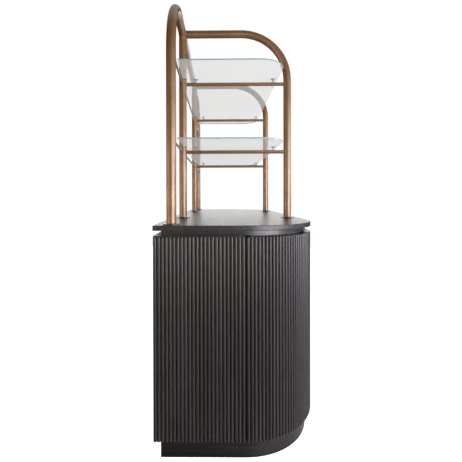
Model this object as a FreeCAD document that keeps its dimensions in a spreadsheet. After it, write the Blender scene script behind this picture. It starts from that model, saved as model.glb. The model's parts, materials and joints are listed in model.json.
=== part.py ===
import FreeCAD, Part
import Sketcher
import os
import re

# Floor-standing bar cabinet: a black reeded base with quarter-round corner doors, and on its top
# a bronze tube rack with two glass shelves. Millimetres, +Z up, front towards -Y.
# The origin is on the floor under the middle of the top slab.

doc = FreeCAD.newDocument("bar_cabinet")
sheet = doc.addObject("Spreadsheet::Sheet", "Sizes")
V = FreeCAD.Vector

# Driving sizes, one cell each.
SIZES = {
    # base, outside
    "cabinet_width": 1640,
    "cabinet_depth": 600,
    "corner_radius": 282,
    "slab_thickness": 18,
    "neck_height": 18,
    "neck_recess": 25,
    "face_height": 700,
    "face_clearance": 4,
    "plinth_height": 64,
    "plinth_recess": 23,
    "plinth_board": 18,
    # reeded faces
    "reed_pitch": 13.3,
    "reed_height": 6,
    "reed_groove": 1,
    "web_thickness": 3,
    "core_thickness": 16,
    # carcass
    "panel_thickness": 18,
    "back_thickness": 8,
    "door_gap": 3,
    "door_setback": 10,
    "shelf_rise": 330,
    "shelf_play": 1.5,
    "shelf_setback": 5,
    "pin_radius": 2.5,
    "pin_grip": 8,
    "corner_pin_inset": 90,
    "centre_pin_inset": 60,
    # hinges and catches
    "pivot_edge": 16,
    "pivot_depth": 14,
    "pivot_radius": 2.5,
    "pivot_length": 14,
    "pivot_play": 0.05,
    "bush_radius": 4,
    "bush_flange": 6,
    "leaf_thickness": 3,
    "leaf_width": 14,
    "leaf_length": 44,
    "thrust_gap": 0.2,
    "catch_width": 18,
    "catch_height": 14,
    "catch_depth": 24,
    "catch_edge": 16,
    "catch_gap": 0.3,
    "strike_thickness": 1.5,
    # tube rack
    "tube_radius": 17.5,
    "tube_wall": 2,
    "frame_height": 870,
    "arch_inset": 40,
    "side_bay": 400,
    "back_row_inset": 59.5,
    "front_row_inset": 56.5,
    "arch_bend": 240.5,
    "hoop_bend": 213.5,
    "lower_rail_rise": 306.5,
    "upper_rail_rise": 620.5,
    "rail_radius": 8,
    "back_rail_radius": 5,
    "flange_radius": 30,
    "flange_thickness": 4,
    "plug_length": 22,
    "bolt_radius": 4,
    "bolt_grip": 16,
    "bolt_play": 0.5,
    "bolt_collar": 9,
    "bolt_collar_height": 1.6,
    "bolt_head": 7.5,
    "bolt_head_height": 5.5,
    # glass shelves
    "glass_thickness": 6,
    "glass_end_inset": 170,
    "glass_front_inset": 41.5,
    "glass_corner": 112,
    "glass_play": 1.5,
    "cup_inset": 121,
    "cup_height": 15.5,
    "cup_neck": 3.5,
    "cup_flare": 6.5,
    "cup_rim": 12,
    "cup_lip": 1,
    "cup_dish": 2.5,
    "cup_peg_radius": 3,
    "cup_peg_length": 5,
}

# Places and sizes that follow from the driving ones.
PLACES = {
    "half_width": "cabinet_width / 2",
    "half_depth": "cabinet_depth / 2",
    "corner_x": "half_width - corner_radius",
    "corner_y": "corner_radius - half_depth",
    "root_radius": "corner_radius - reed_height",
    "web_radius": "root_radius - web_thickness",
    "core_radius": "web_radius - core_thickness",
    "face_depth": "reed_height + web_thickness + core_thickness",
    "inner_x": "half_width - face_depth",
    "inner_y": "half_depth - face_depth",
    "edge_x": "inner_x - door_setback",
    "edge_y": "inner_y - door_setback",
    "edge_radius": "core_radius - door_setback",
    "inner_back": "half_depth - back_thickness",
    "seam_y": "corner_y + door_gap / 2",
    "gap_angle": "door_gap / 2 / corner_radius * 180 / pi",
    "door_sweep": "90 - 2 * gap_angle",
    "front_width": "corner_x - door_gap",
    "end_length": "half_depth - seam_y",
    # heights
    "face_z": "plinth_height + face_clearance",
    "face_top": "face_z + face_height",
    "floor_top": "plinth_height + panel_thickness",
    "carcass_top": "face_top + face_clearance",
    "roof_z": "carcass_top - panel_thickness",
    "neck_top": "carcass_top + neck_height",
    "slab_top": "neck_top + slab_thickness",
    "shelf_z": "floor_top + shelf_rise",
    "shelf_pin_z": "shelf_z - pin_radius",
    "post_z": "slab_top + flange_thickness",
    "arch_z": "slab_top + frame_height - tube_radius",
    "lower_rail_z": "slab_top + lower_rail_rise",
    "upper_rail_z": "slab_top + upper_rail_rise",
    # rack
    "arch_x": "half_width - arch_inset",
    "hoop_x": "arch_x - side_bay",
    "back_row": "half_depth - back_row_inset",
    "front_row": "half_depth - front_row_inset",
    "glass_reach": "arch_x - glass_end_inset",
    "glass_front": "front_row - glass_front_inset",
    "cup_row": "half_depth - cup_inset",
    "bore_radius": "tube_radius - tube_wall",
    "bolt_hole": "bolt_radius + bolt_play",
    # pivots of the corner doors and of the front doors, on the right-hand side
    "corner_pivot_x": "half_width - pivot_depth",
    "corner_pivot_y": "corner_y - door_gap / 2 - pivot_edge",
    "front_pivot_x": "corner_x - door_gap / 2 - pivot_edge",
    "front_pivot_y": "pivot_depth - half_depth",
}

SIDES = {"left": -1, "right": 1}
TURN_X = FreeCAD.Rotation(V(0, 1, 0), 90)
TURN_Y = FreeCAD.Rotation(V(1, 0, 0), -90)
WORD = re.compile(r"[a-z][a-z_]+")
nodes = []

for row, (alias, value) in enumerate(SIZES.items(), start=1):
    sheet.set(f"A{row}", alias)
    sheet.set(f"B{row}", str(value))
    sheet.setAlias(f"B{row}", alias)
doc.recompute()


def formula(text):
    """Spell a formula out in cells of the sheet."""
    def spell(match):
        word = match.group()
        if word in PLACES:
            return "(" + formula(PLACES[word]) + ")"
        return "Sizes." + word if word in SIZES else word
    return WORD.sub(spell, str(text))


def bind(obj, **sizes):
    for name, text in sizes.items():
        obj.setExpression(name, formula(text))
    return obj


def place(obj, x="0", y="0", z="0", turn=None):
    if turn:
        obj.Placement = FreeCAD.Placement(V(), turn)
    for axis, text in zip("xyz", (x, y, z)):
        obj.setExpression("Placement.Base." + axis, formula(text))
    return obj


def node(label, obj):
    """Register a finished sub-part under its own name."""
    obj.Label = label
    nodes.append(obj)
    return obj


def mirrored(sign, low, high):
    """An X span given for the right-hand side, on the side asked for."""
    return (low, high) if sign > 0 else (f"-({high})", f"-({low})")


def at(sign, text):
    return text if sign > 0 else f"-({text})"


# Solids

def box(x, y, z):
    obj = doc.addObject("Part::Box", "Box")
    spans = {"Length": x, "Width": y, "Height": z}
    bind(obj, **{name: f"({high}) - ({low})" for name, (low, high) in spans.items()})
    return place(obj, x[0], y[0], z[0])


def rod(radius, x, y, z, length, turn=None):
    """A round bar that starts at x, y, z and runs up, or along the axis that turn gives."""
    obj = doc.addObject("Part::Cylinder", "Rod")
    bind(obj, Radius=radius, Height=length)
    return place(obj, x, y, z, turn)


def cone(low_radius, high_radius, x, y, z, height):
    obj = doc.addObject("Part::Cone", "Cone")
    bind(obj, Radius1=low_radius, Radius2=high_radius, Height=height)
    return place(obj, x, y, z)


def bend(radius, bend_radius, x, y, z, turn):
    """A quarter of a ring about x, y, z."""
    obj = doc.addObject("Part::Torus", "Bend")
    obj.Angle3 = 90
    bind(obj, Radius1=bend_radius, Radius2=radius)
    return place(obj, x, y, z, turn)


def fuse(members):
    if len(members) == 1:
        return members[0]
    obj = doc.addObject("Part::MultiFuse", "Fuse")
    obj.Shapes = members
    obj.Refine = True
    return obj


def group(members):
    obj = doc.addObject("Part::Compound", "Group")
    obj.Links = members
    return obj


def cut(base, tool):
    obj = doc.addObject("Part::Cut", "Cut")
    obj.Base = base
    obj.Tool = tool
    return obj


def common(base, tool):
    obj = doc.addObject("Part::Common", "Common")
    obj.Base = base
    obj.Tool = tool
    return obj


def rounded_board(half_width, front, back, radius, z, thickness):
    """A flat board whose two front corners are round."""
    body = doc.addObject("PartDesign::Body", "Board")
    blank = body.newObject("PartDesign::AdditiveBox", "Blank")
    bind(blank, Length=f"2 * ({half_width})", Width=f"({back}) - ({front})", Height=thickness)
    doc.recompute()
    corners = [f"Edge{i}" for i, edge in enumerate(blank.Shape.Edges, start=1)
               if edge.BoundBox.ZLength > 1 and edge.BoundBox.YMax < 1]
    fillet = body.newObject("PartDesign::Fillet", "Corners")
    fillet.Base = (blank, corners)
    bind(fillet, Radius=radius)
    return place(body, f"-({half_width})", front, z)


def sector(sign, outer, inner, z, height, trim="0"):
    """A curved board about a front corner's centre, trimmed by an angle at both ends."""
    pie = doc.addObject("Part::Cylinder", "Pie")
    bind(pie, Radius=outer, Height=height, Angle=f"90 - 2 * ({trim})")
    place(pie, at(sign, "corner_x"), "corner_y", z)
    bind(pie, **{"Placement.Rotation.Angle": f"{270 if sign > 0 else 180} + ({trim})"})
    hollow = rod(inner, at(sign, "corner_x"), "corner_y", z, height)
    return cut(pie, hollow)


# Reeded facings: a thin web with half-round reeds standing on it

def origin_feature(body, role):
    """One of a body's own origin planes or axes."""
    return next(item for item in body.Origin.OriginFeatures if item.Role == role)


def reed(body, chord, x, y, angle):
    """One reed of the face, a round segment standing on its chord."""
    profile = body.newObject("Sketcher::SketchObject", "ReedProfile")
    profile.AttachmentSupport = [(origin_feature(body, "XY_Plane"), "")]
    profile.MapMode = "FlatFace"
    half, rise = 6.0, 5.0
    start, end = V(-half, 0, 0), V(half, 0, 0)
    line = profile.addGeometry(Part.LineSegment(start, end))
    crown = profile.addGeometry(Part.Arc(end, V(0, rise, 0), start))
    for kind in [("Coincident", line, 2, crown, 1), ("Coincident", line, 1, crown, 2),
                 ("Symmetric", line, 1, line, 2, -2), ("PointOnObject", line, 1, -1)]:
        profile.addConstraint(Sketcher.Constraint(*kind))
    sizes = {
        "chord": (("DistanceX", line, 1, line, 2, 2 * half), chord),
        "drop": (("DistanceY", crown, 3, -1, 1, half**2 / 2 / rise - rise / 2),
                 f"({chord})^2 / 8 / reed_height - reed_height / 2"),
    }
    for name, (kind, text) in sizes.items():
        profile.renameConstraint(profile.addConstraint(Sketcher.Constraint(*kind)), name)
        bind(profile, **{"Constraints." + name: text})
    profile.AttachmentOffset = FreeCAD.Placement(V(), FreeCAD.Rotation(V(0, 0, 1), 1))
    bind(profile, **{"AttachmentOffset.Base.x": x, "AttachmentOffset.Base.y": y,
                     "AttachmentOffset.Rotation.Angle": angle})
    pad = body.newObject("PartDesign::Pad", "Reed")
    pad.Profile = profile
    bind(pad, Length="face_height")
    doc.recompute()
    return pad


def flat_facing(length, x, y, turn):
    """A straight reeded facing: reeds side by side along the face."""
    count = f"floor(({length}) / reed_pitch + 0.5)"
    pitch = f"({length}) / ({count})"
    body = doc.addObject("PartDesign::Body", "Facing")
    web = body.newObject("PartDesign::AdditiveBox", "Web")
    bind(web, Length=length, Width="web_thickness", Height="face_height")
    first = reed(body, f"{pitch} - reed_groove", f"{pitch} / 2", "web_thickness", "0")
    row = body.newObject("PartDesign::LinearPattern", "Reeds")
    row.Originals = [first]
    row.Direction = (origin_feature(body, "X_Axis"), [""])
    bind(row, Length=f"({length}) - {pitch}", Occurrences=count)
    body.Tip = row
    return place(body, x, y, "face_z", FreeCAD.Rotation(V(0, 0, 1), turn))


def curved_facing(sign):
    """A quarter-round reeded facing: reeds fanned about the corner's centre."""
    count = "floor(corner_radius * door_sweep * pi / 180 / reed_pitch + 0.5)"
    step = f"door_sweep / ({count})"
    chord = f"(2 * root_radius * sin({step} / 2 * 1 deg) - reed_groove)"
    reach = f"sqrt(root_radius^2 - {chord}^2 / 4)"
    body = doc.addObject("PartDesign::Body", "Facing")
    web = body.newObject("PartDesign::AdditiveCylinder", "Web")
    bind(web, Radius="root_radius", Height="face_height", Angle="door_sweep")
    hollow = body.newObject("PartDesign::SubtractiveCylinder", "Hollow")
    bind(hollow, Radius="web_radius", Height="face_height")
    doc.recompute()
    first = reed(body, chord, f"{reach} * cos({step} / 2 * 1 deg)",
                 f"{reach} * sin({step} / 2 * 1 deg)", f"{step} / 2 - 90")
    fan = body.newObject("PartDesign::PolarPattern", "Reeds")
    fan.Originals = [first]
    fan.Axis = (origin_feature(body, "Z_Axis"), [""])
    bind(fan, Angle=f"door_sweep - {step}", Occurrences=count)
    body.Tip = fan
    place(body, at(sign, "corner_x"), "corner_y", "face_z", FreeCAD.Rotation(V(0, 0, 1), 1))
    bind(body, **{"Placement.Rotation.Angle": f"{270 if sign > 0 else 180} + gap_angle"})
    return body


# Plinth: boards on edge, set back under the base

plinth_x = "half_width - plinth_recess"
plinth_y = "half_depth - plinth_recess"
plinth_z = ("0", "plinth_height")
front_board = (f"-({plinth_y})", f"plinth_board - ({plinth_y})")
back_board = (f"{plinth_y} - plinth_board", plinth_y)
between = (front_board[1], back_board[0])

node("plinth_front_rail", box(("-(corner_x)", "corner_x"), front_board, plinth_z))
node("plinth_back_rail", box((f"-({plinth_x})", plinth_x), back_board, plinth_z))
bearers = []
for side, sign in SIDES.items():
    end_board = mirrored(sign, f"{plinth_x} - plinth_board", plinth_x)
    node(f"plinth_{side}_rail", box(end_board, ("corner_y", back_board[0]), plinth_z))
    node(f"plinth_{side}_corner", sector(sign, "corner_radius - plinth_recess",
         "corner_radius - plinth_recess - plinth_board", "0", "plinth_height"))
    bearer_x = mirrored(sign, "corner_x - plinth_board", "corner_x")
    bearers.append(box(bearer_x, between, plinth_z))
node("plinth_bearers", group(bearers))


# Where the posts of the rack stand, and the holes that their bolts pass through

post_spots = []
for sign in SIDES.values():
    post_spots.append((at(sign, "arch_x"), "back_row"))
    post_spots.append((at(sign, "hoop_x"), "back_row"))
    post_spots.append((at(sign, "hoop_x"), "-front_row"))


def bolt_holes(z, height):
    return group([rod("bolt_hole", x, y, z, height) for x, y in post_spots])


# Hinge leaves: a plate let into the carcass, with a pin that the door turns on

def pivots(sign):
    """The two doors of a side, each with the place of its pivot."""
    return [("corner", at(sign, "corner_pivot_x"), "corner_pivot_y"),
            ("front", at(sign, "front_pivot_x"), "front_pivot_y")]


def leaf_plate(sign, kind, x, y, z):
    """A leaf's plate, from its pivot into the carcass: along X at a corner, along Y in front."""
    half = "leaf_width / 2"
    if kind == "corner":
        span_x = (x, f"{x} + leaf_length") if sign < 0 else (f"{x} - leaf_length", x)
        return box(span_x, (f"{y} - {half}", f"{y} + {half}"), (z, f"{z} + leaf_thickness"))
    return box((f"{x} - {half}", f"{x} + {half}"), (y, f"{y} + leaf_length"),
               (z, f"{z} + leaf_thickness"))


top_leaf_z = "carcass_top - leaf_thickness"
low_leaf_z = "plinth_height"
low_pin_z = "plinth_height + leaf_thickness"
leaves = []
top_slots = []
low_slots = []
for sign in SIDES.values():
    for kind, x, y in pivots(sign):
        for z, pin_z, slots in [(top_leaf_z, f"{top_leaf_z} - pivot_length", top_slots),
                                (low_leaf_z, low_pin_z, low_slots)]:
            plate = leaf_plate(sign, kind, x, y, z)
            nose = rod("leaf_width / 2", x, y, z, "leaf_thickness")
            pin = rod("pivot_radius", x, y, pin_z, "pivot_length")
            leaves.append(fuse([plate, nose, pin]))
            slots.append(leaf_plate(sign, kind, x, y, z))
node("hinge_leaves", group(leaves))


# Carcass

def carcass_board(end_play, door_play, back, z, thickness):
    """The carcass plan: full width behind the seams, set back from the doors in front of them."""
    front = rounded_board(f"edge_x - {door_play}", f"{door_play} - (edge_y)", back,
                          f"edge_radius - {door_play}", z, thickness)
    ends = box((f"{end_play} - (inner_x)", f"inner_x - {end_play}"), ("seam_y", back),
               (z, f"{z} + {thickness}"))
    return fuse([front, ends])


bottom = carcass_board("0", "0", "inner_back", "plinth_height", "panel_thickness")
node("bottom_panel", cut(bottom, group(low_slots)))
top = carcass_board("0", "0", "inner_back", "roof_z", "panel_thickness")
node("top_panel", cut(top, group(top_slots + [bolt_holes("roof_z", "panel_thickness")])))
carcass_z = ("plinth_height", "carcass_top")
node("back_panel", box(("-(inner_x)", "inner_x"), ("inner_back", "half_depth"), carcass_z))
neck = rounded_board("half_width - neck_recess", "neck_recess - half_depth",
                     "half_depth - neck_recess", "corner_radius - neck_recess",
                     "carcass_top", "neck_height")
node("neck_board", cut(neck, bolt_holes("carcass_top", "neck_height")))
slab = rounded_board("half_width", "-(half_depth)", "half_depth", "corner_radius",
                     "neck_top", "slab_thickness")
node("top_slab", cut(slab, bolt_holes("neck_top", "slab_thickness")))


# Ends, partitions and shelves, with the pins that carry the shelves

end_pin_rows = ("inner_back - corner_pin_inset", "seam_y + corner_pin_inset")
corner_pin_rows = ("inner_back - corner_pin_inset", "seam_y - corner_pin_inset")
centre_pin_rows = ("inner_back - centre_pin_inset", "centre_pin_inset - (edge_y)")
shelf_blank_z = ("shelf_z", "shelf_z + panel_thickness")
partition_in = "corner_x - panel_thickness / 2"
partition_out = "corner_x + panel_thickness / 2"
pins = []


def shelf_pin(x, y):
    return rod("pin_radius", f"{x} - pin_grip", y, "shelf_pin_z", "2 * pin_grip", TURN_X)


def shelf(x):
    blank = carcass_board("shelf_play", "shelf_setback", "inner_back - shelf_play",
                          "shelf_z", "panel_thickness")
    return common(blank, box(x, ("-(half_depth)", "half_depth"), shelf_blank_z))


for side, sign in SIDES.items():
    end_pins = [shelf_pin(at(sign, "inner_x"), y) for y in end_pin_rows]
    outer_pins = [shelf_pin(at(sign, partition_out), y) for y in corner_pin_rows]
    inner_pins = [shelf_pin(at(sign, partition_in), y) for y in centre_pin_rows]
    pins += end_pins + outer_pins + inner_pins

    board = box(mirrored(sign, "inner_x", "inner_x + core_thickness"), ("seam_y", "half_depth"),
                carcass_z)
    node(f"{side}_end_panel", cut(board, group(end_pins)))
    face_x = at(sign, "inner_x + core_thickness")
    first_y = "half_depth" if sign > 0 else "seam_y"
    node(f"{side}_end_facing", flat_facing("end_length", face_x, first_y, -sign * 90))
    wall = box(mirrored(sign, partition_in, partition_out), ("-(edge_y)", "inner_back"),
               ("floor_top", "roof_z"))
    node(f"{side}_partition", cut(wall, group(outer_pins + inner_pins)))
    shelf_x = mirrored(sign, f"{partition_out} + shelf_play", "half_width")
    node(f"{side}_corner_shelf", shelf(shelf_x))
node("centre_shelf", shelf((f"shelf_play - ({partition_in})", f"{partition_in} - shelf_play")))
node("shelf_pins", group(pins))


# Doors: a core, its reeded facing, the bushes that it turns on and its strike plate

face_z_span = ("face_z", "face_top")
catch_z = ("roof_z - catch_height", "roof_z")
magnets = []


def bush(x, y, top):
    """A flanged bush in the top or bottom edge of a door."""
    rim = "face_clearance - leaf_thickness - thrust_gap"
    sleeve_z = "face_top - pivot_length" if top else "face_z"
    rim_z = "face_top" if top else f"face_z - ({rim})"
    sleeve = rod("bush_radius", x, y, sleeve_z, "pivot_length")
    flange = rod("bush_flange", x, y, rim_z, rim)
    bore = rod("pivot_radius + pivot_play", x, y, "0", "slab_top")
    return cut(fuse([sleeve, flange]), bore)


def door(side, kind, x, y, core, facing, strike):
    name = f"{side}_{kind}_door"
    bores = [rod("bush_radius", x, y, z, "pivot_length") for z in ("face_z", "face_top - pivot_length")]
    node(f"{name}_core", cut(core, group(bores)))
    node(f"{name}_facing", facing)
    node(f"{name}_bushes", group([bush(x, y, False), bush(x, y, True)]))
    node(f"{name}_strike", strike)


for side, sign in SIDES.items():
    corner, front = pivots(sign)
    core = sector(sign, "web_radius", "core_radius", "face_z", "face_height", "gap_angle")
    plate = sector(sign, "core_radius", "core_radius - strike_thickness", catch_z[0], "catch_height")
    catch_x = mirrored(sign, "corner_x + catch_edge", "corner_x + catch_edge + catch_width")
    strike = common(plate, box(catch_x, ("-(half_depth)", "0"), catch_z))
    door(side, *corner, core, curved_facing(sign), strike)
    reach = "sqrt((core_radius - strike_thickness)^2 - (catch_edge + catch_width)^2)"
    magnet_y = f"corner_y - {reach} + catch_gap"
    magnets.append(box(catch_x, (magnet_y, f"{magnet_y} + catch_depth"), catch_z))

    door_x = mirrored(sign, "door_gap / 2", "corner_x - door_gap / 2")
    core = box(door_x, ("-(inner_y + core_thickness)", "-(inner_y)"), face_z_span)
    facing = flat_facing("front_width", door_x[1], "-(inner_y + core_thickness)", 180)
    catch_x = mirrored(sign, "catch_edge", "catch_edge + catch_width")
    strike = box(catch_x, ("-(inner_y)", "strike_thickness - (inner_y)"), catch_z)
    door(side, *front, core, facing, strike)
    magnet_y = "strike_thickness + catch_gap - (inner_y)"
    magnets.append(box(catch_x, (magnet_y, f"{magnet_y} + catch_depth"), catch_z))
node("catch_magnets", group(magnets))


# Rack: bent tube, coped where one tube meets another

ARCH_TURN = {-1: FreeCAD.Rotation(V(1, 0, 0), 90) * FreeCAD.Rotation(V(0, 0, 1), 90),
             1: FreeCAD.Rotation(V(1, 0, 0), 90)}
HOOP_TURN = FreeCAD.Rotation(V(0, -1, 0), V(0, 0, 1), V(-1, 0, 0), "XYZ")


def tube(legs):
    """A hollow tube; each leg makes one stretch of it at the radius it is given."""
    return cut(fuse([leg("tube_radius") for leg in legs]), fuse([leg("bore_radius") for leg in legs]))


def post(x, y, top):
    return lambda radius: rod(radius, x, y, "post_z", f"{top} - (post_z)")


def arch_run(radius):
    return rod(radius, "arch_bend - (arch_x)", "back_row", "arch_z", "2 * (arch_x - arch_bend)", TURN_X)


def arch_corner(sign):
    return lambda radius: bend(radius, "arch_bend", at(sign, "arch_x - arch_bend"), "back_row",
                               "arch_z - arch_bend", ARCH_TURN[sign])


def hoop_run(x):
    return lambda radius: rod(radius, x, "hoop_bend - front_row", "arch_z",
                              "back_row + front_row - hoop_bend", TURN_Y)


def hoop_corner(x):
    return lambda radius: bend(radius, "hoop_bend", x, "hoop_bend - front_row",
                               "arch_z - hoop_bend", HOOP_TURN)


arch_legs = [arch_run]
for sign in SIDES.values():
    arch_legs.append(post(at(sign, "arch_x"), "back_row", "arch_z - arch_bend"))
    arch_legs.append(arch_corner(sign))
node("back_arch", tube(arch_legs))

rail_levels = {"lower": "lower_rail_z", "upper": "upper_rail_z"}
cup_spots = ("cup_row", "-cup_row")
for side, sign in SIDES.items():
    x = at(sign, "hoop_x")
    node(f"{side}_back_post", cut(tube([post(x, "back_row", "arch_z")]), arch_run("tube_radius")))
    hoop_legs = [hoop_run(x), hoop_corner(x), post(x, "-front_row", "arch_z - hoop_bend")]
    joint = fuse([arch_run("tube_radius"), post(x, "back_row", "arch_z")("tube_radius")])
    node(f"{side}_hoop", cut(tube(hoop_legs), joint))
    for level, z in rail_levels.items():
        bar = rod("rail_radius", x, "-front_row", z, "front_row + back_row", TURN_Y)
        ends = [post(x, y, "arch_z")("tube_radius") for y in ("-front_row", "back_row")]
        pegs = [rod("cup_peg_radius", x, y, f"{z} + rail_radius - cup_peg_length",
                    "2 * cup_peg_length") for y in cup_spots]
        node(f"{level}_{side}_cross_rail", cut(bar, group(ends + pegs)))


def back_post(sign):
    return post(at(sign, "hoop_x"), "back_row", "arch_z")("tube_radius")


def arch_leg(sign):
    """A leg of the arch up to the end of its bend, where the upper bar meets it."""
    leg = post(at(sign, "arch_x"), "back_row", "arch_z - arch_bend")
    return fuse([leg("tube_radius"), arch_corner(sign)("tube_radius")])


def back_rail(x, length, z, ends):
    """A thin bar along the back row, coped to the tubes at its two ends."""
    return cut(rod("back_rail_radius", x, "back_row", z, length, TURN_X), group(ends))


for level, z in rail_levels.items():
    bars = [back_rail("-(arch_x)", "side_bay", z, [arch_leg(-1), back_post(-1)]),
            back_rail("-(hoop_x)", "2 * (hoop_x)", z, [back_post(-1), back_post(1)]),
            back_rail("hoop_x", "side_bay", z, [back_post(1), arch_leg(1)])]
    node(f"{level}_back_rails", group(bars))

flanges = []
plugs = []
bolts = []
for x, y in post_spots:
    disc = rod("flange_radius", x, y, "slab_top", "flange_thickness")
    flanges.append(cut(disc, rod("bolt_hole", x, y, "slab_top", "flange_thickness")))
    plug = rod("bore_radius", x, y, "post_z", "plug_length")
    plugs.append(cut(plug, rod("bolt_radius", x, y, "post_z", "plug_length")))
    shank = rod("bolt_radius", x, y, "roof_z", "post_z + bolt_grip - (roof_z)")
    collar = rod("bolt_collar", x, y, "roof_z - bolt_collar_height", "bolt_collar_height")
    head = doc.addObject("Part::Prism", "Head")
    bind(head, Circumradius="bolt_head", Height="bolt_head_height")
    place(head, x, y, "roof_z - bolt_collar_height - bolt_head_height")
    bolts.append(fuse([shank, collar, head]))
node("foot_flanges", group(flanges))
node("post_plugs", group(plugs))
node("post_bolts", group(bolts))


# Glass shelves on clear cups

def cup(x, y, z):
    """A suction cup: a peg in the rail, a neck, and a flare that is dished under the glass."""
    peg = rod("cup_peg_radius", x, y, f"{z} - cup_peg_length", "cup_peg_length")
    neck = rod("cup_neck", x, y, z, "cup_height - cup_flare")
    flare = cone("cup_neck", "cup_rim", x, y, f"{z} + cup_height - cup_flare", "cup_flare")
    dish = cone("0", "cup_rim - cup_lip", x, y, f"{z} + cup_height - cup_dish", "cup_dish")
    return cut(fuse([peg, neck, flare]), dish)


for level, z in rail_levels.items():
    rail_top = f"{z} + rail_radius"
    cups = [cup(at(sign, "hoop_x"), y, rail_top) for sign in SIDES.values() for y in cup_spots]
    node(f"{level}_cups", group(cups))
    glass_z = f"{rail_top} + cup_height"
    pane = rounded_board("glass_reach", "-glass_front", "back_row", "glass_corner", glass_z,
                         "glass_thickness")
    notches = [rod("tube_radius + glass_play", at(sign, "hoop_x"), "back_row", glass_z,
                   "glass_thickness") for sign in SIDES.values()]
    node(f"{level}_glass_shelf", cut(pane, group(notches)))


# Build, check and write every sub-part

doc.recompute()
faults = [obj.Name for obj in doc.Objects if {"Invalid", "Error"} & set(obj.State)]
faults += [obj.Label for obj in nodes if obj.Shape.isNull() or not obj.Shape.isValid()]
if faults:
    raise RuntimeError("these did not build: " + ", ".join(faults))

os.makedirs("parts", exist_ok=True)
for obj in nodes:
    obj.Shape.exportStep(f"parts/{obj.Label}.step")
print(len(nodes), "sub-parts written")
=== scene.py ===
"""Dresses a black reeded bar cabinet, with its bronze tube rack and glass shelves, for the studio."""
import json
from math import atan2, copysign, cos, floor, pi, radians, sin, sqrt

import bmesh
import bpy
from bpy.props import FloatProperty, FloatVectorProperty, IntProperty, PointerProperty
from mathutils import Matrix, Vector


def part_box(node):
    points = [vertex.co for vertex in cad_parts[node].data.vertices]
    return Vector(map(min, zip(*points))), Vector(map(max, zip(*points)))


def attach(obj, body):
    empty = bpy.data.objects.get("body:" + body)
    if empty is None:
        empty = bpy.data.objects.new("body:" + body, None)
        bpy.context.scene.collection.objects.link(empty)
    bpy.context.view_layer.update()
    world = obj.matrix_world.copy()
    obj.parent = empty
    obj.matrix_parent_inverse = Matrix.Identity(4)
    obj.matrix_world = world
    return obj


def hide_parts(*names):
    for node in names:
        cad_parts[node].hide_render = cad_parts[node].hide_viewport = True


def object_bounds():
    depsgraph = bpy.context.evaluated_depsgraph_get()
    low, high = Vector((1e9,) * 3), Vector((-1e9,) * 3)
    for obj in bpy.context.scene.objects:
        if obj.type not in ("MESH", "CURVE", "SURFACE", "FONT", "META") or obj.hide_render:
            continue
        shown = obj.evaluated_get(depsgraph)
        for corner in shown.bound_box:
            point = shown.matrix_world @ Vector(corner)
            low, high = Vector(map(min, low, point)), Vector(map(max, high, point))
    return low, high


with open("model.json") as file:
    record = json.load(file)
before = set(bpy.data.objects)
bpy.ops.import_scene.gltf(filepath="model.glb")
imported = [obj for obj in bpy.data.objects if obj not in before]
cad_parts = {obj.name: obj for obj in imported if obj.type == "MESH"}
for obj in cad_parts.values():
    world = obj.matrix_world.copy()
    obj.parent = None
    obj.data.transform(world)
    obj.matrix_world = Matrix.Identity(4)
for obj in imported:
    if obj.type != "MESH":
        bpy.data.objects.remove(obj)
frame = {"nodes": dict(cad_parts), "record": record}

bl_info = {
    "name": "Reeded Bar Cabinet",
    "version": (1, 0, 0),
    "blender": (4, 5, 0),
    "location": "3D View > Sidebar > Cabinet",
    "description": "Builds the finish of a reeded cabinet with a tube rack and glass shelves",
    "category": "Object",
}

# Sizes and places read from the frame, in metres

CAD_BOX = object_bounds()
SLAB_LOW, SLAB_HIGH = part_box("top_slab")
BEND_X = -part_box("plinth_left_corner")[1].x
BEND_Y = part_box("plinth_left_corner")[1].y
STRIKE_LOW, STRIKE_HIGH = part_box("left_front_door_strike")
STRIKE_THICKNESS = STRIKE_HIGH.y - STRIKE_LOW.y

# Directions, sides with their sign along X, and words that repeat in the nodes' names

ALONG, BACK, UP = Matrix.Identity(3)
SIDES = {"left": -1, "right": 1}
SHELVES = ("lower", "upper")
DOORS = [f"{side}_{kind}_door" for side in SIDES for kind in ("corner", "front")]

# Mesh work: metres within which points merge, degrees up to which faces shade as one, flats

MERGE = 1e-5
ROUND_SMOOTH = 30
BEND_SMOOTH = 10  # the flats of a bend shade as one, and those of an eased edge stay flat
BEAD_STEPS = 8
SCREW_STEPS = 12
FLOOR_STEPS = 96


def length(name, description, default):
    """A property that holds a length in metres."""
    return FloatProperty(name=name, description=description, default=default, min=0.0,
                         precision=4, subtype="DISTANCE", unit="LENGTH")


def amount(name, description, default):
    """A property that holds a plain number."""
    return FloatProperty(name=name, description=description, default=default, min=0.0)


def place(name, description, default):
    """A property that holds a point in metres."""
    return FloatVectorProperty(name=name, description=description, default=default,
                               subtype="TRANSLATION", unit="LENGTH")


def colour(name, description, *default):
    """A property that holds an opaque colour."""
    return FloatVectorProperty(name=name, description=description, default=(*default, 1.0),
                               size=4, min=0.0, max=1.0, subtype="COLOR")


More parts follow.
